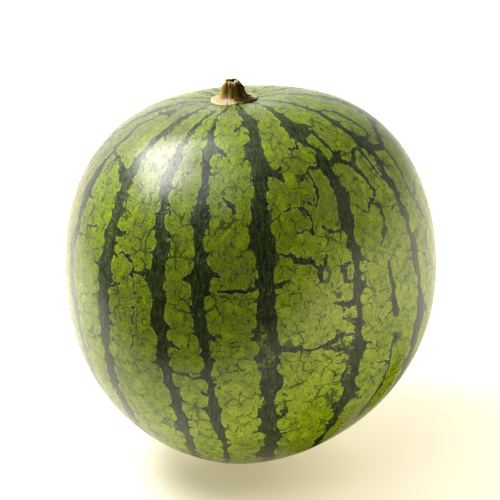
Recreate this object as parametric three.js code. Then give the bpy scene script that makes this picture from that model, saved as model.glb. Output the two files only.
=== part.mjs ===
// A small round watermelon, as picked: the whole fruit standing on its blossom end, with the cut
// stub of its stalk on top. Millimetres, +Z up, origin at the middle of the flat spot it rests on.
import * as THREE from 'three';

// ---- driving dimensions -------------------------------------------------------------------
const fruit = {
  width: 120, // across the widest level
  waistHeight: 61.3, // resting spot up to the widest level
  crownRise: 57.4, // widest level up to the shoulder plane
  restDepth: 2, // how much of the round foot the resting spot takes away
  dimpleDepth: 1.5, // the stalk stands in a shallow dimple
  dimpleRadius: 12,
  lobe: 0.03, // three carpels swell the section by this share of its radius
  lobeBearing: 8.6, // degrees, where one of them is fullest
  lean: 2.2, // how far the crown stands off over +X
};

// The section through the axis is two half superellipses that meet at the waist.
const crownCurve = { across: 2.84, up: 2.11 };
const footCurve = { across: 1.8, up: 2.18 };

const stalk = {
  gap: 0.3, // clear of the rind below it
  collarRadius: 7.3, // the corky disc where the stalk meets the rind
  collarThickness: 0.9,
  collarWave: 0.05, // how uneven the edge of the collar is, as a share of its radius
  tongueReach: 0.15, // one side of the collar runs further out over the rind
  tongueBearing: -38, // degrees
  tongueSpread: 24, // degrees
  stubOffset: -0.6, // the stub rises a little to one side of the collar's middle
  ridge: 0.095, // height of the ridges, as a share of the radius
  ragged: 0.28, // how uneven the cut rim is
};

// The stub from the collar up to the cut, then down into the dried-out pith: radius and height
// over the rind.
const stubOutline = [
  [5.9, 1.2],
  [5.1, 1.38],
  [4.5, 1.7],
  [4.15, 2.3],
  [3.85, 3.2],
  [3.58, 4.2],
  [3.3, 4.85],
  [2.9, 5.4],
  [2.42, 6],
  [2, 6.6],
  [1.62, 6.7],
  [1.15, 6.1],
  [0.7, 5.55],
  [0, 5.4],
];

// ---- how fine the faceted solids are --------------------------------------------------------
const fruitSides = 90;
const fruitRings = 22; // in each half
const stalkSides = 60;

const radius = fruit.width / 2;
const fullFoot = fruit.waistHeight + fruit.restDepth; // the foot before it is flattened
const shoulderHeight = fruit.waistHeight + fruit.crownRise;

// A superellipse's height over its middle, as a share of the whole height.
function rise(share, curve) {
  return Math.pow(Math.max(0, 1 - Math.pow(share, curve.across)), 1 / curve.up);
}

// Flat up to half the depth that is taken away, then a smooth turn into the round foot.
function flattened(height) {
  const soft = fruit.restDepth / 2;
  if (height <= -soft) return 0;
  return height < soft ? (height + soft) ** 2 / (4 * soft) : height;
}

function crownHeight(r) {
  const dimple = fruit.dimpleDepth * Math.exp(-((r / fruit.dimpleRadius) ** 2));
  return fruit.waistHeight + fruit.crownRise * rise(r / radius, crownCurve) - dimple;
}

function footHeight(r) {
  return flattened(fruit.waistHeight - fullFoot * rise(r / radius, footCurve));
}

// Swells the round section to three lobes and leans the axis.
function grow(point) {
  const bearing = Math.atan2(point.y, point.x);
  const fullest = THREE.MathUtils.degToRad(fruit.lobeBearing);
  const swell = 1 + fruit.lobe * Math.cos(3 * (bearing - fullest));
  point.x = point.x * swell + (fruit.lean * point.z) / shoulderHeight;
  point.y *= swell;
}

// Turns a profile of (radius, height) points about Z and lets `shape` move each point of it.
function turned(profile, sides, shape) {
  const geometry = new THREE.LatheGeometry(profile, sides);
  geometry.rotateX(Math.PI / 2);
  const places = geometry.getAttribute('position');
  const point = new THREE.Vector3();
  for (let i = 0; i < places.count; i++) {
    shape(point.fromBufferAttribute(places, i));
    places.setXYZ(i, point.x, point.y, point.z);
  }
  geometry.computeVertexNormals();
  return geometry;
}

// ---- the fruit --------------------------------------------------------------------------------
function makeMelon() {
  const profile = [];
  for (let i = 0; i < fruitRings; i++) {
    const r = radius * Math.sin(((i / fruitRings) * Math.PI) / 2);
    profile.push(new THREE.Vector2(r, footHeight(r)));
  }
  for (let i = fruitRings; i >= 0; i--) {
    const r = radius * Math.sin(((i / fruitRings) * Math.PI) / 2);
    profile.push(new THREE.Vector2(r, crownHeight(r)));
  }
  const rind = new THREE.MeshStandardMaterial({ color: 0x86a838, roughness: 0.38, metalness: 0 });
  const mesh = new THREE.Mesh(turned(profile, fruitSides, grow), rind);
  mesh.name = 'melon';
  return mesh;
}

// ---- the stalk --------------------------------------------------------------------------------
// Five strong ridges with a weaker one between each two, no two alike.
function ridges(bearing) {
  const strong = Math.cos(5 * bearing + 0.6);
  const between = Math.cos(10 * bearing - 0.9);
  const uneven = Math.cos(3 * bearing + 2.1);
  return 0.55 * strong + 0.3 * between + 0.15 * uneven;
}

function collarEdge(bearing) {
  const wave = 0.2 * Math.cos(9 * bearing) + 0.3 * Math.cos(5 * bearing - 1) - 0.9 * Math.cos(bearing + 0.2);
  const fromTongue = THREE.MathUtils.radToDeg(bearing) - stalk.tongueBearing;
  const tongue = Math.exp(-((fromTongue / stalk.tongueSpread) ** 2));
  return stalk.collarWave * wave + stalk.tongueReach * tongue;
}

function rimHeight(bearing) {
  return 0.5 * Math.cos(bearing - 2.4) + 0.3 * Math.cos(4 * bearing + 1.2) + 0.2 * Math.cos(11 * bearing);
}

// Moves a point given by its radius, bearing and height over the rind to where it belongs: the
// collar follows the rind, the stub stands up straight.
function seatOnCrown(point) {
  const r = Math.hypot(point.x, point.y);
  const bearing = Math.atan2(point.y, point.x);
  const stub = THREE.MathUtils.smoothstep(point.z, stalk.gap, stalk.gap + 2 * stalk.collarThickness);
  const rim = THREE.MathUtils.smoothstep(point.z, 5, 6.5);
  const swollen = r * (1 + collarEdge(bearing) * (1 - stub) + stalk.ridge * ridges(bearing) * stub);
  const seat = THREE.MathUtils.lerp(crownHeight(swollen), crownHeight(0), stub);
  point.x = swollen * Math.cos(bearing) + stalk.stubOffset * stub;
  point.y = swollen * Math.sin(bearing);
  point.z += seat + stalk.ragged * rim * rimHeight(bearing);
  grow(point);
}

function makeStalk() {
  const { gap, collarRadius, collarThickness } = stalk;
  const profile = [
    [0, gap],
    [collarRadius * 0.35, gap],
    [collarRadius * 0.7, gap],
    [collarRadius * 0.97, gap],
    [collarRadius, gap + collarThickness * 0.35],
    [collarRadius * 0.95, gap + collarThickness * 0.75],
    ...stubOutline,
  ].map(([r, height]) => new THREE.Vector2(r, height));
  const bark = new THREE.MeshStandardMaterial({ color: 0x8a6a3a, roughness: 0.75, metalness: 0 });
  const mesh = new THREE.Mesh(turned(profile, stalkSides, seatOnCrown), bark);
  mesh.name = 'stalk';
  return mesh;
}

const watermelon = new THREE.Group();
watermelon.add(makeMelon(), makeStalk());

export default watermelon;
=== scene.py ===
import math
import random

import bpy
import numpy as np
from mathutils import Matrix, Vector, kdtree, noise


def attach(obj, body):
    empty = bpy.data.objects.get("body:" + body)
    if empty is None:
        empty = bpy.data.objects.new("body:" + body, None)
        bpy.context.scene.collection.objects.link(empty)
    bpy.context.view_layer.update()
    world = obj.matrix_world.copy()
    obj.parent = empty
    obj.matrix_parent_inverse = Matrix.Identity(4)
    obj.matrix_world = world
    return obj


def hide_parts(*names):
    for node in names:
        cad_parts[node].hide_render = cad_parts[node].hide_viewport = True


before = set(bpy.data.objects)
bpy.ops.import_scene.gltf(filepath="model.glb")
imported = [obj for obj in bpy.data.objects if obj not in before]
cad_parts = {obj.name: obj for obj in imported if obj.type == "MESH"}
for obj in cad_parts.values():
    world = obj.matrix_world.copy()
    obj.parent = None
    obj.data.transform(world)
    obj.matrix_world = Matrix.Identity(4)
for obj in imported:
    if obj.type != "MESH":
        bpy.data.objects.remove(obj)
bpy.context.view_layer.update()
print("frame loaded:", ", ".join(sorted(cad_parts)))

mm = 0.001  # everything is worked out in millimetres and handed over in metres

camera = {
    "target": (1.136, 0, 60),  # a point near the middle of the fruit
    "distance": 600,
    "tilt": 18.85,  # degrees down
    "roll": 5.1,  # degrees
    "lens": 133.5,
    "shiftX": 0.0074,
    "shiftY": 0.0464,
    "clipStart": 10,
}


def putInScene(name, data):
    made = bpy.data.objects.new(name, data)
    bpy.context.scene.collection.objects.link(made)
    return made


def placeCamera():
    tilt, roll = math.radians(camera["tilt"]), math.radians(camera["roll"])
    back = Vector((0, -math.cos(tilt), math.sin(tilt)))
    up = Vector((0, math.sin(tilt), math.cos(tilt)))
    right = Vector((1, 0, 0))
    rolledRight = right * math.cos(roll) - up * math.sin(roll)
    rolledUp = right * math.sin(roll) + up * math.cos(roll)
    spot = (Vector(camera["target"]) + back * camera["distance"]) * mm
    data = bpy.data.cameras.new("camera")
    data.lens = camera["lens"]
    data.shift_x = camera["shiftX"]
    data.shift_y = camera["shiftY"]
    data.clip_start = camera["clipStart"] * mm
    made = putInScene("camera", data)
    turned = Matrix((rolledRight, rolledUp, back)).transposed().to_4x4()
    made.matrix_world = Matrix.Translation(spot) @ turned
    bpy.context.scene.camera = made


placeCamera()
print("camera placed")

# the fruit stands on the middle of its flat spot, blossom end down
melonShape = {
    "width": 120,  # across the widest level
    "waistHeight": 61.3,  # resting spot up to the widest level
    "crownRise": 57.4,  # widest level up to the shoulder plane
    "restDepth": 2,  # how much of the round foot the resting spot takes away
    "dimpleDepth": 1.5,  # the stalk stands in a shallow dimple
    "dimpleRadius": 12,
    "crownAcross": 2.84,  # exponents of the two half superellipses
    "crownUp": 2.11,
    "footAcross": 1.8,
    "footUp": 2.18,
    "lobe": 0.03,  # three carpels swell the section by this share
    "lobeBearing": 8.6,
    "lean": 2.2,  # how far the crown stands off over +X
    "sides": 384,
    "rings": 250,
    "wave": 0.12,  # faint unevenness of the skin
    "waveSize": 14,
    "waveFrom": 6,  # in full above this height, so that the foot stays even
    "scarRadius": 3.2,  # corky spot where the flower stood
    "scarDepth": 0.45,
}

melonRadius = melonShape["width"] / 2
shoulderHeight = melonShape["waistHeight"] + melonShape["crownRise"]


def rise(share, across, up):
    return np.maximum(0, 1 - share**across) ** (1 / up)


def crownHeight(r):
    shape = melonShape
    dome = shape["crownRise"] * rise(r / melonRadius, shape["crownAcross"], shape["crownUp"])
    dimple = shape["dimpleDepth"] * np.exp(-((r / shape["dimpleRadius"]) ** 2))
    return shape["waistHeight"] + dome - dimple


def footHeight(r):
    shape = melonShape
    full = shape["waistHeight"] + shape["restDepth"]
    height = shape["waistHeight"] - full * rise(r / melonRadius, shape["footAcross"], shape["footUp"])
    soft = shape["restDepth"] / 2
    turnUp = (height + soft) ** 2 / (4 * soft)
    return np.where(height <= -soft, 0, np.where(height < soft, turnUp, height))


def grow(x, y, z):
    # swells the round section to three lobes and leans the axis
    bearing = np.arctan2(y, x)
    swell = 1 + melonShape["lobe"] * np.cos(3 * (bearing - math.radians(melonShape["lobeBearing"])))
    return x * swell + melonShape["lean"] * z / shoulderHeight, y * swell, z


def runAlong(points):
    # how far each point lies along the line through them
    return np.concatenate([[0], np.cumsum(np.hypot(*np.diff(points, axis=0).T))])


def makeMeridian():
    r = melonRadius * np.sin(np.linspace(0, math.pi / 2, 3000))
    across = np.concatenate([r, r[-2::-1]])
    height = np.concatenate([crownHeight(r), footHeight(r)[-2::-1]])
    run = runAlong(np.stack([across, height], -1))
    return across, height, run / run[-1], run[-1]


# "way" runs along the skin from the stalk (0) to where the flower stood (1); "bearing" is in
# degrees round the core, counter-clockwise from +X seen from above
meridianRadius, meridianHeight, meridianWay, meridianLength = makeMeridian()


def radiusAt(way):
    return np.interp(way, meridianWay, meridianRadius)


def onRind(bearing, way):
    angle = np.radians(bearing)
    r = radiusAt(way)
    z = np.interp(way, meridianWay, meridianHeight)
    return np.stack(grow(r * np.cos(angle), r * np.sin(angle), z), -1)


# courses of the dark stripes, each by (way, bearing of its middle, half width in degrees)
frontStripes = [
    [(.03, -83, 3), (.06, -82.5, 3.2), (.08, -83.4, 3), (.1, -83.7, 4), (.12, -81.2, 5.2),
     (.14, -80.7, 5.6), (.16, -81, 3.4), (.18, -81.8, 2.7), (.2, -82.8, 4.2), (.22, -82.9, 3.4),
     (.24, -82, 3.2), (.26, -82.3, 3), (.28, -83.5, 2.7), (.3, -84.5, 2.9), (.34, -85, 3.1),
     (.36, -85, 3.9), (.38, -84, 3.5), (.4, -84.9, 2.1), (.44, -85.2, 2.8), (.46, -85.6, 2.3),
     (.48, -85.6, 2.6), (.5, -86, 3.2), (.52, -85.7, 2.9), (.54, -86.2, 3.1), (.56, -86, 2.6),
     (.58, -84.9, 3.3), (.6, -85.6, 1.9), (.62, -85.5, 1.6), (.64, -86.9, 3.2), (.66, -86.4, 3),
     (.68, -86.3, 2.9), (.7, -84.8, 2.7), (.72, -85.1, 2.4), (.74, -85.5, 3), (.76, -86.6, 3.8),
     (.78, -87.5, 5), (.8, -86.3, 3.4), (.84, -85.1, 3.4), (.9, -84, 3.6), (.96, -86, 2)],
    [(.03, -50, 4), (.06, -52, 4), (.1, -55.5, 3.5), (.14, -58, 3.8), (.16, -57.7, 4.6), (.175, -57, 7.1),
     (.19, -56, 6.2), (.2, -59, 3), (.22, -56, .8), (.24, -55.2, 1.2), (.255, -54.8, 2.7), (.28, -55, 1.9),
     (.3, -54.4, 2.1), (.32, -53.8, 2.2), (.34, -54.7, 2.4), (.36, -55.6, 2.5), (.38, -55.2, 1.9),
     (.4, -55, 1.55), (.42, -54.4, 1), (.44, -55.8, 1.9), (.46, -55.1, 2.2), (.48, -56.2, 1.1),
     (.5, -55.8, 1.3), (.52, -56, 1.1), (.54, -56.7, 1.2), (.56, -55.6, 2.5), (.58, -58.2, 2.6),
     (.6, -58.5, 3.2), (.62, -58.3, 2.5), (.65, -57.5, 3.3), (.67, -59.8, 3.3), (.68, -59.6, 2.4),
     (.7, -60.1, 1.7), (.74, -60, 1.6), (.76, -61.5, 2.1), (.78, -60.4, 2.4), (.8, -58.5, 2),
     (.87, -59, 2.6), (.96, -57, 2)],
    [(.03, -100, 3), (.06, -101.5, 3), (.08, -103.4, 2.6), (.1, -104.3, 1.9), (.12, -105, 1.55),
     (.14, -104.4, 1.6), (.16, -104, 2.2), (.18, -103.2, 2.8), (.2, -103.5, 3.1), (.22, -103.5, 1.9),
     (.24, -103.2, 1.6), (.26, -103.1, 1.35), (.29, -103.5, 2.1), (.32, -103.9, 2.7), (.34, -104, 1.45),
     (.36, -103.4, 1.6), (.38, -103.2, 2), (.4, -103.5, 3.2), (.43, -104, 2.3), (.47, -104, 1.65),
     (.5, -102.9, 1.6), (.52, -103, 1.3), (.54, -102.6, 1.7), (.56, -103.1, 1.2), (.58, -102.6, .85),
     (.6, -102.7, 1.2), (.62, -103.2, 1.7), (.64, -103.5, 2), (.66, -102.7, 1.4), (.68, -102.2, 1.2),
     (.7, -102.4, 1.7), (.72, -102.7, 1.4), (.74, -103.2, 1.3), (.76, -104.1, 1.2), (.78, -104.7, 1.4),
     (.8, -106.2, 2), (.82, -108, 1.9), (.84, -109.7, 2), (.86, -111.6, 1.6), (.96, -112, 1.5)],
    [(.03, -114, 3), (.08, -115.4, 2.6), (.1, -116, 2.4), (.12, -117, 1.55), (.14, -117.3, 1.6),
     (.16, -117.3, 2), (.18, -118, 2.3), (.23, -117.8, 2.4), (.26, -118, 3), (.28, -116.9, 1.6),
     (.3, -117, 1.7), (.32, -116.8, 1.9), (.34, -115.8, 2.1), (.36, -116.1, 1.8), (.38, -116.4, 2.3),
     (.4, -116.5, 3), (.43, -116.4, 2.1), (.46, -115.8, 2), (.48, -115.8, 2.4), (.5, -115.4, 2),
     (.52, -115.2, 1.8), (.54, -115.8, 2.2), (.56, -114.8, 1.6), (.58, -115, 1.8), (.6, -113.6, 1.4),
     (.63, -114.5, 2), (.66, -114.2, 2.4), (.68, -115.4, 2.5), (.7, -115.4, 1.5), (.72, -116.8, 1.3),
     (.74, -117.8, 1.5), (.76, -118.8, 1.9), (.78, -120.7, 2), (.8, -122.4, 2.5), (.82, -124.5, 1.8),
     (.9, -127, 2.4), (.96, -127, 1.5)],
    [(.03, -150, 3), (.045, -148, 3), (.06, -142, 3.4), (.07, -138, 4), (.08, -134.5, 4), (.1, -135.2, 3.6),
     (.12, -135.6, 3.6), (.14, -136, 2.9), (.16, -135.6, 2.5), (.18, -135.8, 2.2), (.22, -137, 3),
     (.26, -136.8, 3.2), (.28, -135.8, 2.9), (.3, -136, 2.7), (.32, -135.9, 2.4), (.34, -136, 2.5),
     (.36, -135.7, 2.6), (.38, -135.8, 2.9), (.4, -137, 3.6), (.42, -136.1, 3), (.44, -136.4, 2.3),
     (.46, -136.4, 2.1), (.48, -136.1, 2.2), (.5, -136.6, 1.9), (.52, -137.6, 2.4), (.54, -137.3, 1.4),
     (.56, -137.3, 2.3), (.58, -138, 2.4), (.6, -137.8, 2.2), (.62, -138, 1.5), (.64, -137.7, 2.7),
     (.66, -138.2, 2.8), (.68, -139.5, 3), (.7, -140.8, 2.7), (.74, -143.5, 3), (.82, -146, 2.6),
     (.9, -148, 3), (.96, -150, 1.6)],
    [(.03, -176, 3), (.07, -170, 2), (.1, -165, 1.5), (.14, -165.4, 1.4), (.18, -165.4, 1.4),
     (.2, -161.6, 1.5), (.24, -161.6, 1.5), (.26, -161, 3.3), (.28, -160.6, 3), (.3, -161.4, 4),
     (.32, -160.7, 2.7), (.34, -160.3, 1.9), (.36, -158.7, 2.1), (.38, -160.5, 2.8), (.4, -161.5, 2.5),
     (.42, -160.5, 2.2), (.44, -159.8, 2.8), (.46, -159, 2.4), (.48, -156.4, 2.9), (.5, -156, 2.8),
     (.52, -154.6, 1.8), (.54, -153.8, 1.5), (.56, -154, 2.3), (.59, -153.9, 2.6), (.62, -154.8, 2.6),
     (.64, -156, 3), (.7, -159, 2.4), (.8, -164, 2.7), (.88, -167, 2.2), (.96, -168, 1.5)],
    [(.03, -26, 4), (.06, -30, 3.4), (.08, -33, 2.5), (.1, -32, 2.8), (.12, -31.7, 2.4), (.14, -30.6, 2.5),
     (.16, -30.8, 2.1), (.22, -30.8, 2.1), (.24, -29.5, 3.4), (.26, -28.5, 3), (.28, -29.1, 1),
     (.3, -29.1, .8), (.32, -29.8, 1.4), (.34, -28.5, 1.9), (.36, -28.6, 1.25), (.38, -28.2, 1.4),
     (.41, -28.3, .85), (.44, -28, 2.2), (.46, -28.5, 2), (.48, -27.2, 1.5), (.5, -27.2, .9), (.52, -26, 2),
     (.54, -26, 2.5), (.56, -25.8, 3.3), (.58, -26.8, 3.1), (.6, -26.5, 2.5), (.62, -25.5, 2.7),
     (.64, -26, 3), (.67, -25.3, 2.7), (.7, -25.5, 2.5), (.8, -28, 2), (.88, -27, 2.6), (.96, -25, 1.5)],
]

# the stripes out of sight keep the same spacing and the same habit: middle and seed of each
backStripes = [(3, 11), (28, 12), (50, 13), (76, 14), (108, 15), (128, 16), (152, 17), (178, 18)]

stripeHabit = {
    "width": 2.4,  # half width that it comes back to, degrees
    "narrowest": 1,
    "widest": 4.6,
    "change": 1.1,  # how much wider or narrower it gets in one step
    "drift": 0.75,  # how far it strays in one step, degrees
    "return": 0.86,  # share of the stray that is kept to the next step
    "step": (0.016, 0.026),
    "fade": 0.86,  # it tapers from here on
}

# the larger veins, each by (bearing, way, half width in mm) from point to point
veins = [
    # right of the widest stripe
    [(-81, .245, 1.6), (-76.5, .252, 1.1), (-74, .27, .4)],
    [(-76.5, .25, .4), (-73.8, .244, .25)],
    [(-76.5, .316, .3), (-73.5, .314, .38), (-70.5, .317, .38), (-68.8, .325, .4), (-68.2, .342, .38),
     (-68.5, .35, .3)],
    [(-74.5, .354, .3), (-71, .35, .35), (-69, .355, .35), (-68.3, .362, .3)],
    [(-82, .375, .5), (-79.5, .379, .4), (-77, .382, .45), (-75.5, .392, .6), (-73.5, .398, 1),
     (-71, .397, .5), (-69.5, .408, .4), (-68.5, .418, .9), (-66.5, .41, .4), (-65.3, .395, .35)],
    [(-68.5, .418, .7), (-68.3, .432, .3)],
    [(-82.5, .427, .8), (-80, .424, .5), (-78, .42, .2)],
    [(-82, .527, .7), (-79, .53, .6), (-76.5, .532, .65), (-74.5, .538, .45), (-72.5, .54, .3),
     (-69.5, .538, .5), (-66.5, .534, .8), (-63.5, .527, .5), (-60, .531, .5), (-57.5, .538, .6)],
    [(-68, .542, .5), (-64.5, .548, .8), (-61, .553, .8), (-58.5, .55, 1)],
    [(-83, .643, .4), (-80.7, .645, .4), (-80.3, .65, .4), (-82, .66, .4)],
    [(-82.5, .704, .6), (-80, .703, .4), (-78, .702, .15)],
    # between that one and the next to its right
    [(-61.8, .202, .5), (-63, .215, .4), (-66.5, .213, .35), (-69.5, .222, .2)],
    [(-56.5, .258, .6), (-60.5, .258, .5), (-62.5, .253, .4), (-64, .265, .3), (-66, .268, .3),
     (-68, .275, .25)],
    [(-63, .262, .3), (-63.5, .275, .35), (-62.8, .29, .5), (-63.5, .296, .7), (-62.8, .305, .5),
     (-65, .317, .35), (-67.5, .31, .3)],
    [(-56, .364, .6), (-59.5, .363, .5), (-62.5, .362, .4), (-65, .352, .3)],
    [(-57.5, .418, .5), (-60.5, .42, .5), (-60, .43, .6), (-59.8, .445, .6)],
    [(-60.2, .442, .5), (-56.5, .447, .5)],
    [(-64, .472, .3), (-61.5, .478, .8), (-58.5, .482, 1), (-57, .48, 1)],
    [(-61.5, .485, .4), (-62, .5, .25)],
    [(-64.5, .561, .25), (-62, .56, .3), (-59, .561, .5)],
    [(-64.3, .575, .3), (-61, .577, .6)],
    [(-64.5, .597, .25), (-62, .594, .4)],
    [(-61, .668, .8), (-64, .668, .15)],
    # right of that one
    [(-55, .412, .7), (-52, .418, .5), (-49.5, .425, .3), (-48, .43, .15)],
    [(-54.5, .462, .5), (-52.5, .463, .15)],
    [(-55, .558, 1.2), (-52.5, .558, .5), (-50.5, .56, .15)],
    [(-54, .645, .8), (-51, .65, .1)],
    [(-54, .662, .5), (-51, .668, .3), (-48.5, .675, .1)],
    [(-54, .257, 1), (-50, .257, .8), (-46.5, .248, 1.2), (-45, .246, .6)],
    [(-46, .262, .8), (-43.5, .27, .8), (-42, .285, 1), (-41, .295, .6), (-40, .31, .5), (-39.7, .325, .5),
     (-40.5, .335, .5), (-42.5, .335, .4), (-44.5, .345, .4), (-46, .352, .4), (-48, .347, .3)],
    [(-40.5, .335, .4), (-39.8, .35, .4), (-39.7, .37, .4), (-40.2, .385, .5), (-41.3, .39, .9),
     (-42.5, .4, .4), (-44.5, .408, .3)],
    [(-43, .28, .7), (-40.5, .262, .6), (-38.5, .252, .5), (-34, .249, .6), (-31, .243, .7)],
    [(-50, .19, .5), (-49, .21, .5), (-48.3, .235, .5), (-48.3, .25, .5)],
    [(-42.2, .437, .5), (-42, .45, .6), (-41.6, .47, .7), (-41, .485, .8), (-41.3, .5, .8),
     (-41, .512, 1.4), (-40, .525, 1.5)],
    [(-42.5, .518, .4), (-45, .52, .3), (-48, .52, .2)],
    [(-39.7, .566, 1), (-39.8, .572, 1.2)],
    [(-41, .58, .3), (-41, .6, .6), (-40.5, .61, .8), (-40, .62, .4), (-40, .63, .4), (-40.5, .645, .5),
     (-40.5, .66, .6), (-42, .68, .9), (-42.5, .7, 1.1), (-43.5, .72, 1), (-44, .74, .8)],
    [(-41.5, .61, .5), (-45, .608, .35), (-48, .6, .2)],
    [(-40, .66, .4), (-38, .667, .1)],
    [(-34, .25, .3), (-33.5, .3, .4), (-31.5, .318, .5), (-30, .335, .6)],
    [(-34.3, .363, .4), (-31, .357, .4)],
    [(-29, .645, .7), (-32, .655, .2)],
    # far right
    [(-26, .447, .4), (-23.5, .455, .3), (-21.5, .463, .25)],
    [(-28, .155, .6), (-24, .16, .6), (-20.5, .172, .7), (-19.8, .2, .6), (-19.5, .232, .6), (-22, .24, .7),
     (-26, .243, .8)],
    [(-28, .25, 1.3), (-24, .265, 1.3), (-19.5, .268, 1.3), (-16, .255, 1.2), (-11, .24, 1.1),
     (-4, .225, 1)],
    [(-19.2, .25, .5), (-19, .28, .5), (-18.8, .31, .5), (-20.3, .335, .5), (-20.5, .35, .6),
     (-19, .37, .5), (-18, .378, .5), (-17, .4, .5), (-16, .415, .5), (-18.5, .435, .5), (-19, .45, .4),
     (-20.5, .465, .4), (-21, .485, .3)],
    [(-18, .365, .8), (-13, .347, .4)],
    # left of the widest stripe
    [(-88, .425, .6), (-91.5, .427, .4), (-95, .425, .5), (-98.5, .424, .3)],
    [(-88, .69, .8), (-90.5, .69, .5), (-92.5, .694, .15)],
    [(-86, .137, .4), (-88, .14, .28), (-90, .148, .28), (-92.5, .157, .25)],
    [(-102, .19, 1.3), (-99.3, .198, .9), (-97, .2, .5), (-95, .21, .35), (-92, .212, .2)],
    [(-96.8, .284, .3), (-95.3, .287, .6), (-94.3, .291, 1), (-93.5, .298, .8), (-93, .307, .35)],
    [(-101, .395, 1.4), (-99, .4, .6), (-97.8, .401, .2)],
    [(-102, .578, .4), (-99.7, .583, .2)],
    # between the next two on the left
    [(-106, .402, 1), (-108, .403, .6)],
    [(-104.3, .597, .5), (-106.5, .59, .25)],
    [(-114, .552, .6), (-112, .557, .45), (-109.5, .558, .5), (-108, .565, .45), (-105.5, .565, .35),
     (-104, .562, .4)],
    [(-114, .505, .8), (-112, .512, .3), (-110.5, .518, .1)],
    # further left
    [(-118.5, .4, .5), (-121.5, .4, .4), (-124, .4, .4), (-126, .402, .35)],
    [(-126.5, .38, .35), (-124.8, .385, .35), (-124.6, .4, .4), (-124.5, .42, .3)],
    [(-124.7, .44, .3), (-124.4, .46, .35), (-125.2, .48, .3)],
    [(-125, .5, .3), (-126, .52, .3)],
    [(-132, .38, .35), (-129.5, .373, .3), (-127.5, .375, .3), (-126, .385, .3)],
    [(-118.5, .327, .5), (-120, .332, .3), (-120.2, .34, .15)],
    [(-117.5, .543, .8), (-120, .541, .2)],
    [(-117, .665, 1), (-118.5, .67, .3)],
    [(-117.5, .68, 1), (-118.5, .685, .3)],
    [(-133, .343, 1.3), (-131, .345, 1), (-129.5, .342, .4)],
    [(-134, .428, .6), (-132, .427, .4), (-129.5, .42, .2)],
    [(-135, .488, .8), (-132, .493, .1)],
    [(-134, .16, .4), (-129, .18, .3)],
    [(-139.5, .4, .8), (-142, .4, .2)],
    [(-139, .517, .8), (-141.6, .517, .2)],
    [(-138, .265, 1.3), (-141, .255, 1.6), (-144, .246, 1.2), (-148, .238, .5), (-152, .231, .6),
     (-155.5, .23, .4), (-160, .231, .3)],
    [(-152.5, .232, .5), (-154.5, .243, .5), (-156, .252, .4)],
    [(-157.5, .37, .8), (-154, .372, .5), (-152, .377, .2)],
    [(-158, .303, .8), (-156, .308, .5), (-152, .309, .15)],
    [(-149.5, .351, .25), (-147, .349, .25), (-144.5, .343, .2)],
    [(-163, .4, .9), (-168, .4, .2)],
    [(-172, .127, .6), (-166, .127, 1), (-160, .112, 1.8), (-155, .118, .8), (-151, .127, .4)],
]

veinHabit = {
    "reach": 1.3,  # how far outside a vein the skin still knows the way to it, mm
    "far": 9,  # the way that stands for none near by, mm
    "half": 0.4,  # and the half width there
    "step": 0.25,  # spacing of the points that stand for a vein, mm
    "wiggle": 0.18,  # how far it strays from its smooth course, mm
    "wiggleSize": 2.2,
    "spurs": 150,  # short ones that leave the stripes on the side out of sight
    "links": 16,  # long ones that run from stripe to stripe there
    "stars": 46,  # small dark forks that stand alone
    "starRoom": 2.5,  # and keep this far from a stripe, mm
}


def inventStripe(bearing, seed):
    # wanders and swells the way the others do
    habit = stripeHabit
    dice = random.Random(seed)
    points = []
    drift = 0
    width = habit["width"]
    way = 0.03
    while way < 0.97:
        drift = drift * habit["return"] + dice.uniform(-habit["drift"], habit["drift"])
        width = width + dice.uniform(-habit["change"], habit["change"]) + 0.3 * (habit["width"] - width)
        width = min(habit["widest"], max(habit["narrowest"], width))
        taper = 1.0 if way < habit["fade"] else 1 - 4 * (way - habit["fade"])
        points.append((way, bearing + drift, width * taper))
        way += dice.uniform(*habit["step"])
    return points


def stripeCourses():
    # bearing and half width of every stripe at close steps along the way
    ways = np.linspace(0, 1, melonShape["rings"] + 1)
    hump = np.array([1, 2, 1]) / 4  # takes the corners off the course
    courses = []
    for points in frontStripes + [inventStripe(*one) for one in backStripes]:
        table = np.array(points)
        middle = np.interp(ways, table[:, 0], table[:, 1])
        half = np.interp(ways, table[:, 0], table[:, 2])
        half = np.where(ways > 0.96, half * np.clip((0.985 - ways) / 0.025, 0, 1), half)
        middle[1:-1] = np.convolve(middle, hump, "valid")
        half[1:-1] = np.convolve(half, hump, "valid")
        courses.append((middle, half))
    return ways, courses


ways, stripeLines = stripeCourses()


def fromStripe(bearing, way):
    # millimetres outside the edge of the nearest stripe, less than nothing inside it
    r = radiusAt(way)
    nearest = np.full(np.shape(bearing), 99.0)
    for middle, half in stripeLines:
        slope = np.interp(way, ways, np.gradient(np.radians(middle), ways * meridianLength)) * r
        off = np.abs((bearing - np.interp(way, ways, middle) + 180) % 360 - 180)
        gap = np.radians(off) * r / np.sqrt(1 + slope**2) - np.radians(np.interp(way, ways, half)) * r
        nearest = np.minimum(nearest, gap)
    return nearest


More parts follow.
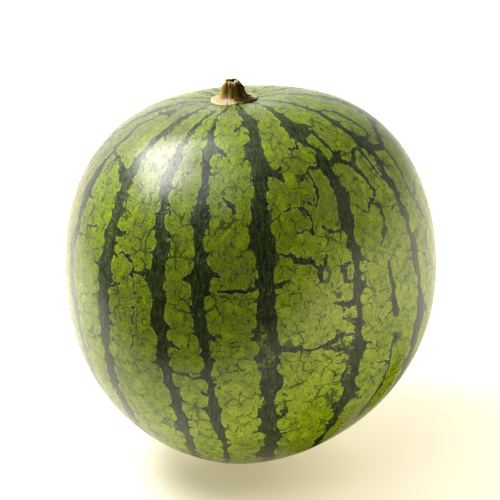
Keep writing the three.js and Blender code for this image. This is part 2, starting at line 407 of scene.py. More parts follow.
def inventVeins():
    # spurs, links and lone forks for the side out of sight, drawn like those in front
    dice = random.Random(41)
    made = []
    backs = stripeLines[len(frontStripes):]
    for _ in range(veinHabit["spurs"]):
        middle, half = dice.choice(backs)
        way = dice.uniform(0.12, 0.86)
        side = dice.choice((-1, 1))
        edge = float(np.interp(way, ways, middle) + side * np.interp(way, ways, half))
        start = dice.uniform(0.4, 1.3)
        reach = side * dice.uniform(1.5, 4.5)
        drop = dice.uniform(-0.012, 0.012)
        made.append([(edge - side, way, start), (edge + reach * 0.5, way + drop * 0.4, start * 0.5),
                     (edge + reach, way + drop, 0.15)])
    for _ in range(veinHabit["links"]):
        first = dice.randrange(len(backs) - 1)
        way = dice.uniform(0.2, 0.8)
        start = float(np.interp(way, ways, backs[first][0]))
        end = float(np.interp(way, ways, backs[first + 1][0]))
        points = []
        for share in (0, 0.15, 0.3, 0.45, 0.6, 0.75, 0.9, 1):
            way += dice.uniform(-0.008, 0.008)
            points.append((start + (end - start) * share, way, dice.uniform(0.3, 0.9)))
        made.append(points)
    for _ in range(veinHabit["stars"]):
        bearing, way = dice.uniform(-8, 190), dice.uniform(0.2, 0.8)
        if float(fromStripe(np.array(bearing), way)) < veinHabit["starRoom"]:
            continue
        turn = dice.uniform(0, 360)
        for _ in range(dice.choice((2, 3, 3))):
            turn += dice.uniform(90, 150)
            across = math.cos(math.radians(turn)) * dice.uniform(1.2, 3)
            along = math.sin(math.radians(turn)) * dice.uniform(0.006, 0.014)
            made.append([(bearing, way, dice.uniform(0.3, 0.7)), (bearing + across, way + along, 0.15)])
    return made


def veinPoints():
    # every vein as close points on the skin with its half width at each
    spots, halves = [], []
    for number, points in enumerate(veins + inventVeins()):
        table = np.array(points, float)
        across = np.radians(table[:, 0]) * radiusAt(table[:, 1])
        run = runAlong(np.stack([across, table[:, 1] * meridianLength], -1))
        fine = np.arange(0, run[-1], veinHabit["step"])
        bearing, way, half = (np.interp(fine, run, column) for column in table.T)
        for i, along in enumerate(fine):
            course = (along / veinHabit["wiggleSize"], number * 7.3)  # each strays its own way
            stray = noise.noise((*course, 0)) * veinHabit["wiggle"] * 2
            other = noise.noise((*course, 50)) * veinHabit["wiggle"] * 2
            bearing[i] += math.degrees(stray / max(8, radiusAt(way[i])))
            way[i] += other / meridianLength
        spots.append(onRind(bearing, way))
        halves.append(half)
    return np.concatenate(spots), np.concatenate(halves)


# soft patches on the skin: bearing, way, reach across and along in mm, amount
skinPatches = {
    # paler where more than nothing, darker where less: partly the skin's own paler patches, partly painted
    # reflection and painted shade
    "bleachAndPaintedShading": [
        (-62, 0.47, 20, 20, 0.8), (-36, 0.48, 13, 30, 0.25), (-39, 0.3, 10, 10, 0.3), (-28, 0.28, 10, 8, 0.2),
        (-94, 0.26, 8, 14, 0.2), (-75, 0.57, 30, 12, 0.2), (-108, 0.68, 28, 22, 0.45),
        (-138, 0.58, 20, 24, 0.25), (-94, 0.64, 10, 10, 0.25), (-114, 0.14, 14, 14, 0.25),
        (-175, 0.3, 26, 60, -0.75), (-150, 0.1, 50, 22, -0.2), (-60, 0.04, 120, 20, -0.3),
        (-36, 0.84, 60, 24, -0.3), (-123, 0.2, 12, 11, -0.9), (-72, 0.62, 24, 24, 0.3),
        (-25, 0.53, 9, 30, 0.25), (-150, 0.48, 14, 34, 0.25),
    ],
    # wax rubbed off, from lying on the ground, or thicker where less than nothing
    "rubbed": [
        (-60, 0.8, 38, 32, 0.9), (-5, 0.66, 36, 30, 0.7), (-110, 0.8, 40, 26, 0.2), (-72, 0.66, 22, 22, 0.5),
        (-36, 0.65, 8, 16, 0.5), (-101, 0.21, 10, 11, -0.8), (-130, 0.2, 22, 12, -0.15),
        (0, 0.45, 18, 55, 0.6), (180, 0.45, 16, 55, 0.55),
    ],
    # green that shows through a stripe
    "worn": [
        (-87.2, 0.503, 1.3, 3, 1), (-85.2, 0.541, 1, 2.6, 0.8), (-87.9, 0.547, 1.8, 1.2, 0.7),
        (-62, 0.543, 2.6, 1.8, 0.9), (-59.4, 0.545, 0.8, 1.8, 0.8), (-61.9, 0.571, 1.8, 1.8, 0.7),
        (-59.3, 0.6, 1.1, 2.8, 0.9), (-136.2, 0.33, 0.9, 16, 0.35),
    ],
}


def patchesAt(patches, bearing, way):
    total = np.zeros(np.shape(bearing))
    for middle, height, across, along, amount in patches:
        off = np.radians((bearing - middle + 180) % 360 - 180) * melonRadius
        run = (way - height) * meridianLength
        total += amount * np.exp(-((off / across) ** 2) - (run / along) ** 2)
    return total


def setAttribute(mesh, name, kind, values):
    field = "vector" if kind == "FLOAT_VECTOR" else "value"
    made = mesh.attributes.new(name, kind, "POINT")
    made.data.foreach_set(field, np.asarray(values, np.float32).ravel())


def ringFaces(count, sides):
    # faces over rings of points, closed by one point at each end
    faces = []
    for ring in range(count - 1):
        for side in range(sides):
            beside = (side + 1) % sides
            low, high = 1 + ring * sides, 1 + (ring + 1) * sides
            faces.append((low + side, high + side, high + beside, low + beside))
    last = count * sides + 1
    foot = 1 + (count - 1) * sides
    for side in range(sides):
        beside = (side + 1) % sides
        faces.append((0, 1 + side, 1 + beside))
        faces.append((last, foot + beside, foot + side))
    return faces


def makeMelon():
    shape = melonShape
    ringWays = ways[1:-1]
    bearings = np.arange(shape["sides"]) * 360 / shape["sides"]
    bearing, way = np.meshgrid(bearings, ringWays)
    bearing = np.concatenate([[0], bearing.ravel(), [0]])
    way = np.concatenate([[0], way.ravel(), [1]])
    place = onRind(bearing, way)
    outward = place - np.array([shape["lean"] / 2, 0, shape["waistHeight"]])
    outward /= np.linalg.norm(outward, axis=1)[:, None]
    spots = place.copy()
    for i, point in enumerate(place):
        lift = noise.noise(point / shape["waveSize"])
        spots[i] += outward[i] * shape["wave"] * lift * min(1, point[2] / shape["waveFrom"])
    scar = np.clip(1 - radiusAt(way) / shape["scarRadius"], 0, 1) * (way > 0.5)
    spots[:, 2] += shape["scarDepth"] * scar**0.5
    mesh = bpy.data.meshes.new("melonSkin")
    mesh.from_pydata((spots * mm).tolist(), [], ringFaces(len(ringWays), shape["sides"]))
    mesh.shade_smooth()

    # the rind's pattern lies on a cylinder, so it narrows with the skin towards the two ends
    angle = np.radians(bearing)
    growth = np.stack([melonRadius * np.cos(angle), melonRadius * np.sin(angle),
                       meridianLength * (way - 0.5)], -1)
    setAttribute(mesh, "growth", "FLOAT_VECTOR", growth)
    setAttribute(mesh, "stripe", "FLOAT", fromStripe(bearing, way))
    for name, patches in skinPatches.items():
        setAttribute(mesh, name, "FLOAT", patchesAt(patches, bearing, way))

    points, halves = veinPoints()
    tree = kdtree.KDTree(len(points))
    for i, point in enumerate(points):
        tree.insert(point, i)
    tree.balance()
    toVein = outward * veinHabit["far"]  # square to the skin, so that nothing crosses nought
    veinHalf = np.full(len(place), veinHabit["half"])
    for i, point in enumerate(place):
        spot, index, distance = tree.find(point)
        if distance < halves[index] + veinHabit["reach"]:
            toVein[i] = np.array(spot) - point
            veinHalf[i] = halves[index]
    setAttribute(mesh, "toVein", "FLOAT_VECTOR", toVein)
    setAttribute(mesh, "veinHalf", "FLOAT", veinHalf)
    return putInScene("melonSkin", mesh)


melon = makeMelon()
print("fruit made:", len(melon.data.polygons), "faces")

stalkShape = {
    "collarThickness": 0.9,
    "collarWave": 0.05,  # how uneven its edge is, as a share of its radius
    "tongueReach": 0.15,  # one side of it runs further out over the rind
    "tongueBearing": -38,
    "tongueSpread": 24,
    "stubOffset": -0.6,  # the stub rises a little to one side of the collar's middle
    "height": 6.7,
    "ridge": 0.095,  # height of the ridges, as a share of the radius
    "ragged": 0.28,  # how uneven the cut rim is
    "gap": 0.3,  # the stub's bend starts this far over the rind
    "sides": 180,
    "rings": 150,
    "hidden": 0.28,  # share of the rings that lie under the collar
    "fibre": 0.05,  # fine fibres that run up the stub, mm
    "crackle": 0.2,  # corky unevenness of the collar, mm
    "crackleSize": 1.1,
    "frill": 0.35,  # unevenness of its edge, mm
    "frillFrom": (5, 7),  # it sets in between these radii
    "splinter": 0.45,  # torn edge of the cut, mm
    "cutFrom": (5, 6.5),  # which sets in between these heights
    "pit": 0.25,  # unevenness of the dry pith, mm
    "hollowFrom": (1.95, 1.6),  # dark from here inwards
    "tipShift": 0.15,  # how far the cut end stands over to +X, mm
    "bendFrom": (2, 6),  # the heights between which it bends that way
    "sink": 0.3,  # the middle of the underside lies no deeper in the skin than this
}

# radius and height over the rind, from under the collar up the stub and down into the dry pith
stalkOutline = [
    (0, -.15), (2.555, -.15), (5.11, -.15), (6.9, -.12), (7.3, 0), (7.34, .2), (7.2, .42), (6.8, .66),
    (6.4, .86), (5.9, 1.05), (5.1, 1.3), (4.5, 1.7), (4.15, 2.3), (3.85, 3.2), (3.58, 4.2), (3.3, 4.85),
    (2.9, 5.4), (2.5, 6), (2.2, 6.6), (2, 6.76), (1.8, 6.7), (1.15, 6.1), (.7, 5.55), (0, 5.4),
]


def smoothstep(value, low, high):
    share = np.clip((value - low) / (high - low), 0, 1)
    return share * share * (3 - 2 * share)


def ridges(angle):
    # five strong ridges with a weaker one between each two, no two alike
    strong, between = np.cos(5 * angle + 0.6), np.cos(10 * angle - 0.9)
    return 0.55 * strong + 0.3 * between + 0.15 * np.cos(3 * angle + 2.1)


def collarEdge(angle):
    wave = 0.2 * np.cos(9 * angle) + 0.3 * np.cos(5 * angle - 1) - 0.9 * np.cos(angle + 0.2)
    fromTongue = (np.degrees(angle) - stalkShape["tongueBearing"]) / stalkShape["tongueSpread"]
    return stalkShape["collarWave"] * wave + stalkShape["tongueReach"] * np.exp(-(fromTongue**2))


def rimHeight(angle):
    return 0.5 * np.cos(angle - 2.4) + 0.3 * np.cos(4 * angle + 1.2) + 0.2 * np.cos(11 * angle)


def smoothOutline(points, count):
    # a curve through the points, in even steps
    fineness, soften = 8, 16  # points to a step, and to each side of a corner that is taken off
    table = np.array(points, float)
    run = runAlong(table)
    fine = np.linspace(0, run[-1], count * fineness)
    curve = np.stack([np.interp(fine, run, table[:, i]) for i in (0, 1)], -1)
    hump = np.hanning(2 * soften + 1)
    hump /= hump.sum()
    padded = np.pad(curve, ((soften, soften), (0, 0)), "edge")
    soft = np.stack([np.convolve(padded[:, i], hump, "valid") for i in (0, 1)], -1)
    soft[0], soft[-1] = curve[0], curve[-1]
    run = runAlong(soft)
    even = np.linspace(0, run[-1], count)
    return np.stack([np.interp(even, run, soft[:, i]) for i in (0, 1)], -1)


def makeStalk():
    shape = stalkShape
    outline = smoothOutline(stalkOutline, shape["rings"])
    sides, last = shape["sides"], shape["rings"] - 1
    angles = (np.arange(sides) * 2 * math.pi / sides + math.pi) % (2 * math.pi) - math.pi
    angle, ring = np.meshgrid(angles, np.arange(1, last))
    angle = np.concatenate([[0], angle.ravel(), [0]])
    ring = np.concatenate([[0], ring.ravel(), [last]])
    r, height = outline[ring, 0], outline[ring, 1]
    inside = ring > int(np.argmax(outline[:, 1]))
    stub = smoothstep(height, shape["gap"], shape["gap"] + 2 * shape["collarThickness"])
    stub = np.where(inside, 1, stub)
    rim = smoothstep(height, *shape["cutFrom"])
    upSide = ring > len(outline) * shape["hidden"]
    fray = np.zeros(len(r))
    rough = np.zeros(len(r))
    for i in range(len(r)):
        around = Vector((math.cos(angle[i]), math.sin(angle[i]), 0))
        fray[i] = noise.noise(around * 9 + Vector((0, 0, height[i] / 5)))
        rough[i] = noise.fractal(around * (r[i] / shape["crackleSize"]) + Vector((0, 0, 20)), 0.8, 2.2, 3)
    swollen = r * (1 + collarEdge(angle) * (1 - stub) + shape["ridge"] * ridges(angle) * stub)
    swollen = swollen + shape["fibre"] * fray * 2 * stub * (r > 0.4) * ~inside
    swollen = swollen + shape["frill"] * fray * (1 - stub) * smoothstep(r, *shape["frillFrom"])
    z = height + np.where(upSide, shape["crackle"] * rough * (1 - stub), 0)
    z = z + shape["splinter"] * rim * fray + np.where(inside, shape["pit"] * rough * np.clip(r, 0, 1), 0)
    seat = crownHeight(swollen) * (1 - stub) + crownHeight(np.zeros(1)) * stub
    x = swollen * np.cos(angle) + shape["stubOffset"] * stub
    x = x + shape["tipShift"] * smoothstep(height, *shape["bendFrom"])
    y = swollen * np.sin(angle)
    z = z + seat + shape["ragged"] * rim * rimHeight(angle)
    x, y, z = grow(x, y, z)
    z = np.where(ring <= 3, np.maximum(z, crownHeight(np.hypot(x, y)) - shape["sink"]), z)
    faces = [tuple(reversed(face)) for face in ringFaces(last - 1, sides)]
    mesh = bpy.data.meshes.new("stalkStub")
    mesh.from_pydata((np.stack([x, y, z], -1) * mm).tolist(), [], faces)
    mesh.shade_smooth()
    setAttribute(mesh, "ridge", "FLOAT", ridges(angle))
    setAttribute(mesh, "inside", "FLOAT", inside * smoothstep(r, *shape["hollowFrom"]))
    setAttribute(mesh, "reach", "FLOAT", r)
    around = np.stack([np.cos(angle), np.sin(angle), height / shape["height"]], -1)
    setAttribute(mesh, "around", "FLOAT_VECTOR", around)
    return putInScene("stalkStub", mesh)


stalk = makeStalk()
print("stalk made:", len(stalk.data.polygons), "faces")


def linear(hexColour):
    parts = [int(hexColour[i:i + 2], 16) / 255 for i in (1, 3, 5)]
    return [p / 12.92 if p <= 0.04045 else ((p + 0.055) / 1.055) ** 2.4 for p in parts] + [1]


def newMaterial(name):
    made = bpy.data.materials.new(name)
    made.use_nodes = True
    made.node_tree.nodes.clear()
    return made


def add(tree, kind, inputs=None, take=0, **settings):
    # adds one node, fills or links its inputs, and hands back one of its outputs
    made = tree.nodes.new(kind)
    made.location = (len(tree.nodes) % 12 * 190, -(len(tree.nodes) // 12) * 320)
    for name, value in settings.items():
        setattr(made, name, value)
    for name, value in (inputs or {}).items():
        if isinstance(value, bpy.types.NodeSocket):
            tree.links.new(value, made.inputs[name])
        else:
            made.inputs[name].default_value = value
    return made.outputs[take] if len(made.outputs) else made


rindLook = {
    "grassGreen": "#788f02",
    "paleGreen": "#a9b736",
    # crownGreen is the duller olive of the crown, and also painted shade within the highlight
    "crownGreen": "#6a6c3a",
    "paleRim": "#b3c46a",
    "creaseGreen": "#3a4a0c",
    "stripeDark": "#1a240c",
    "stripeMoss": "#3c4a20",
    "fleck": "#8f9e86",
    "scarCork": "#8a7448",
    "lobeSize": 5.0,  # mm across the lobes of the pale ground
    "lobeBend": 3,  # how far they are bent out of an even pattern, mm
    "bulge": 0.22,  # how far they bulge into the stripes, as a share of their size
    "pushBack": 0.3,  # and how far they push them back all along, mm
    "cusp": 2.0,  # how far the dark runs in between two lobes, mm
    "cuspWidth": 1.7,
    "crumbSize": 2.6,  # smaller lobes within them, mm
    "notch": 0.18,  # how far the dark runs in between two of those, mm
    "notchWidth": 0.7,
    "veinStray": 1.8,  # how far the veins wander, mm
    "veinNotch": 0.3,  # share of a notch that the veins take too
    "joint": 0.7,  # how softly a vein runs into a stripe, mm
    "rimShow": 0.22,  # strength of the pale rim of a lobe
    "creaseShow": 0.85,  # strength of the creases between lobes
    "scratchSize": 3.0,  # net that the short dark scratches are pieces of, mm
    "scratchBend": 2,
    "scratchShow": 0.9,
    "grainSize": 0.5,  # the real grain is near 0.2 mm, drawn coarser to show
    "grainShow": 0.34,  # how much darker and lighter its specks are
    "streakSize": 0.5,  # mm across the streaks in the dark stripes
    "streakSpan": 5,  # and this many times as long
    "fleckShow": 0.35,
    "relief": 0.03,  # mm
    "scarFrom": 92.4,  # mm along the skin from its middle to the corky spot
    "roughness": 0.27,
    "wax": 0.45,  # specular level where it is whole
}


def makeRind():
    # Watermelon rind: live skin under its own thin wax, so a satin gloss lies over a mottled green
    look = rindLook
    material = newMaterial("waxyWatermelonRind")
    tree = material.node_tree
    growth, toVein = (add(tree, "ShaderNodeAttribute", take="Vector", attribute_name=name)
                      for name in ("growth", "toVein"))
    stripe, veinHalf, bleachAndPaintedShading, rubbed, worn = (
        add(tree, "ShaderNodeAttribute", take="Fac", attribute_name=name)
        for name in ("stripe", "veinHalf", "bleachAndPaintedShading", "rubbed", "worn"))

    # soft noises for the rest to use: how wide their blots are in mm, and how many layers each has
    patches, close, mottle, breaks, grain = (
        add(tree, "ShaderNodeTexNoise", {"Vector": growth, "Scale": 1 / size, "Detail": layers}, take="Fac")
        for size, layers in ((6, 2), (3.5, 3), (1.1, 2), (2.2, 1), (look["grainSize"], 1)))
    bend, wander = (
        add(tree, "ShaderNodeTexNoise", {"Vector": growth, "Scale": 1 / size, "Detail": 1}, take="Color")
        for size in (5, 2.4))
    bend, wander = (add(tree, "ShaderNodeVectorMath", {0: spot, 1: (0.5,) * 3}, operation="SUBTRACT")
                    for spot in (bend, wander))

    # the ground is made of round lobes, each with its middle and its edge
    bent, netted, toVein = (
        add(tree, "ShaderNodeVectorMath", {0: stray, 1: (look[amount],) * 3, 2: place},
            operation="MULTIPLY_ADD")
        for stray, amount, place in ((bend, "lobeBend", growth), (bend, "scratchBend", growth),
                                     (wander, "veinStray", toVein)))
    lobe, lobeMiddle = (
        add(tree, "ShaderNodeTexVoronoi", {"Vector": bent, "Scale": 1 / look["lobeSize"]}, take=output)
        for output in ("Color", "Distance"))
    lobe = add(tree, "ShaderNodeSeparateXYZ", {0: lobe}, take="X")
    edges = []  # mm from the nearest edge of a lobe, a crumb and a cell of the net of scratches
    for place, size in ((bent, look["lobeSize"]), (bent, look["crumbSize"]), (netted, look["scratchSize"])):
        cell = add(tree, "ShaderNodeTexVoronoi", {"Vector": place, "Scale": 1 / size}, take="Distance",
                   feature="DISTANCE_TO_EDGE")
        edges.append(add(tree, "ShaderNodeMath", {0: cell, 1: size}, operation="MULTIPLY"))
    lobeEdge, crumbEdge, netEdge = edges

    # mm outside the dark: lobes bulge into the stripes
    bulge = add(tree, "ShaderNodeMath", {0: lobeMiddle, 1: 0.53}, operation="SUBTRACT")
    stripeEdge = add(tree, "ShaderNodeMath", {0: bulge, 1: -look["bulge"] * look["lobeSize"], 2: stripe},
                     operation="MULTIPLY_ADD")
    stripeEdge = add(tree, "ShaderNodeMath", {0: stripeEdge, 1: look["pushBack"]}, operation="ADD")
    vein = add(tree, "ShaderNodeVectorMath", {0: toVein}, take="Value", operation="LENGTH")
    vein = add(tree, "ShaderNodeMath", {0: vein, 1: veinHalf}, operation="SUBTRACT")
    # and the dark runs in between them to a point
    depth = add(tree, "ShaderNodeMapRange", {"Value": patches, "From Min": 0.35, "From Max": 0.65,
                "To Min": 0.2, "To Max": look["cusp"]})
    cusp, notch = (
        add(tree, "ShaderNodeMapRange", {"Value": away, "From Max": look[width], "To Min": 1, "To Max": 0})
        for away, width in ((lobeEdge, "cuspWidth"), (crumbEdge, "notchWidth")))
    cusp = add(tree, "ShaderNodeMath", {0: cusp, 1: 3}, operation="POWER")
    cusp = add(tree, "ShaderNodeMath", {0: cusp, 1: depth}, operation="MULTIPLY")
    notch = add(tree, "ShaderNodeMath", {0: notch, 1: 2}, operation="POWER")
    notch = add(tree, "ShaderNodeMath", {0: notch, 1: look["notch"], 2: cusp}, operation="MULTIPLY_ADD")
    stripeEdge = add(tree, "ShaderNodeMath", {0: stripeEdge, 1: notch}, operation="SUBTRACT")
    vein = add(tree, "ShaderNodeMath", {0: notch, 1: -look["veinNotch"], 2: vein}, operation="MULTIPLY_ADD")
    edge = add(tree, "ShaderNodeMath", {0: stripeEdge, 1: vein, 2: look["joint"]},
               operation="SMOOTH_MIN")
    dark = add(tree, "ShaderNodeMapRange", {"Value": edge, "From Min": 0.12, "From Max": -0.1},
               interpolation_type="SMOOTHSTEP")

    # how pale the ground is: partly its own paler and darker patches, partly painted reflection and painted
    # shade, each lobe a little its own
    drift = add(tree, "ShaderNodeMath", {0: close, 1: 1.4, 2: bleachAndPaintedShading}, operation="MULTIPLY_ADD")
    for cause, amount in ((lobe, 0.3), (mottle, 0.5)):
        drift = add(tree, "ShaderNodeMath", {0: cause, 1: amount, 2: drift}, operation="MULTIPLY_ADD")
    hollow = add(tree, "ShaderNodeMapRange", {"Value": lobeEdge, "From Max": 1.4, "To Min": -0.2,
                 "To Max": 0.1})
    drift = add(tree, "ShaderNodeMath", {0: drift, 1: hollow}, operation="ADD")
    drift = add(tree, "ShaderNodeMath", {0: drift, 1: 1.2}, operation="SUBTRACT")
    # paler ground, partly painted reflection, and darker crown green, partly painted shade
    paleToneAndPaintedLight = add(tree, "ShaderNodeMapRange", {"Value": drift})
    shade = add(tree, "ShaderNodeMapRange", {"Value": drift, "From Min": 0.1, "From Max": -0.8})
    # a thin pale rim where a lobe meets the dark
    rim = add(tree, "ShaderNodeMapRange", {"Value": edge, "From Min": 0.6, "From Max": 0.2,
              "To Max": look["rimShow"]}, interpolation_type="SMOOTHSTEP")

    # creases between the lobes, broken into stretches, and short scratches all over: each is as wide
    # as a noise lets it be, from nothing up
    lines = []
    for away, spread, low, high, least, most, show in (
            (lobeEdge, patches, 0.46, 0.61, -0.12, 0.26, look["creaseShow"]),
            (netEdge, breaks, 0.5, 0.6, -0.1, 0.17, look["scratchShow"])):
        width = add(tree, "ShaderNodeMapRange", {"Value": spread, "From Min": low, "From Max": high,
                    "To Min": least, "To Max": most})
        line = add(tree, "ShaderNodeMath", {0: width, 1: away}, operation="SUBTRACT")
        lines.append(add(tree, "ShaderNodeMapRange", {"Value": line, "From Min": -0.06, "From Max": 0.06,
                         "To Max": show}, interpolation_type="SMOOTHSTEP"))
    creases = add(tree, "ShaderNodeMath", {0: lines[0], 1: lines[1]}, operation="MAXIMUM")

    ground = linear(look["grassGreen"])
    for cover, colour in ((paleToneAndPaintedLight, "paleGreen"), (shade, "crownGreen"), (rim, "paleRim"),
                          (creases, "creaseGreen")):
        ground = add(tree, "ShaderNodeMix", {0: cover, 6: ground, 7: linear(look[colour])}, take=2,
                     data_type="RGBA")
    # grain: small dark and light specks in the skin
    speck = add(tree, "ShaderNodeMapRange", {"Value": grain, "From Min": 0.36, "From Max": 0.64,
                "To Min": 1 - look["grainShow"], "To Max": 1 + look["grainShow"]})
    ground = add(tree, "ShaderNodeVectorMath", {0: ground, 3: speck}, operation="SCALE")

    # stripes: blackish green drawn out lengthwise in moss green streaks, with a few pale flecks, partly
    # specks of the skin and partly painted glints
    drawn = add(tree, "ShaderNodeVectorMath", {0: growth, 1: (1, 1, 1 / look["streakSpan"])},
                operation="MULTIPLY")
    streak = add(tree, "ShaderNodeTexNoise", {"Vector": drawn, "Scale": 1 / look["streakSize"],
                 "Detail": 2}, take="Fac")
    moss = add(tree, "ShaderNodeMath", {0: streak, 1: 2, 2: close}, operation="MULTIPLY_ADD")
    moss = add(tree, "ShaderNodeMath", {0: grain, 1: 0.8, 2: moss}, operation="MULTIPLY_ADD")
    moss = add(tree, "ShaderNodeMapRange", {"Value": moss, "From Min": 1.6, "From Max": 2.3})
    # pale flecks: specks of the skin and painted glints
    flecksAndPaintedGlints = add(tree, "ShaderNodeMath", {0: streak, 1: 0.6, 2: grain}, operation="MULTIPLY_ADD")
    flecksAndPaintedGlints = add(tree, "ShaderNodeMapRange", {"Value": flecksAndPaintedGlints, "From Min": 0.92, "From Max": 1.1,
               "To Max": look["fleckShow"]})
    band = linear(look["stripeDark"])
    for cover, colour in ((moss, "stripeMoss"), (flecksAndPaintedGlints, "fleck")):
        band = add(tree, "ShaderNodeMix", {0: cover, 6: band, 7: linear(look[colour])}, take=2,
                   data_type="RGBA")
    faded = add(tree, "ShaderNodeMapRange", {"Value": mottle, "From Min": 0.42, "From Max": 0.58})
    faded = add(tree, "ShaderNodeMath", {0: faded, 1: worn}, operation="MULTIPLY")
    dark = add(tree, "ShaderNodeMath", {0: dark, 1: faded}, operation="SUBTRACT", use_clamp=True)

    # the corky spot where the flower stood goes over both
    alongSkin = add(tree, "ShaderNodeSeparateXYZ", {0: growth}, take="Z")
    scar = add(tree, "ShaderNodeMapRange", {"Value": alongSkin, "From Min": look["scarFrom"],
               "From Max": look["scarFrom"] + 0.8})
    skin = ground
    for cover, over in ((dark, band), (scar, linear(look["scarCork"]))):
        skin = add(tree, "ShaderNodeMix", {0: cover, 6: skin, 7: over}, take=2, data_type="RGBA")

    relief = add(tree, "ShaderNodeMath", {0: grain, 1: creases}, operation="SUBTRACT")
    bump = add(tree, "ShaderNodeBump", {"Height": relief, "Strength": 1, "Distance": look["relief"] * mm})
    gloss = add(tree, "ShaderNodeMapRange", {"Value": close, "From Min": 0.3, "From Max": 0.7,
                "To Min": look["roughness"] - 0.04, "To Max": look["roughness"] + 0.06})
    wax = add(tree, "ShaderNodeMapRange", {"Value": rubbed, "From Min": -1, "To Min": 2 * look["wax"],
              "To Max": 0})
    shader = add(tree, "ShaderNodeBsdfPrincipled", {"Base Color": skin, "Roughness": gloss, "Normal": bump,
                 "IOR": 1.45, "Specular IOR Level": wax})
    add(tree, "ShaderNodeOutputMaterial", {"Surface": shader})
    return material


stalkLook = {
    # the stub from its left side to its right: a place from 0 to 1 and a colour
    "sides": ((0.25, "#b4a844"), (0.4, "#786a10"), (0.58, "#664a0a"), (0.78, "#86682a"), (1, "#3f241c")),
    "darkBrown": "#2e1c04",
    "rust": "#9c5a20",
    "pinkTan": "#b58e72",
    "litCork": "#b2a47e",
    # paler cork: painted light on the collar's dimmer right side
    "paintedLightCork": "#d6c69c",
    "greenRim": "#b8ba90",
    # painted shadow colour for the collar's right front
    "shadedCork": "#221c02",
    "footBrown": "#200f06",
    "pith": "#eedb9c",
    "hollow": "#2b1a0c",
    "corkSize": 0.9,  # blotches of the collar, mm
    # the side of the collar that gets the painted shadow
    "shadedSide": (0.6, -0.8, 0),  # the side where the collar is dark
    "relief": 0.3,  # mm
    "roughness": 0.8,
    "sheen": 0.03,  # specular level
}


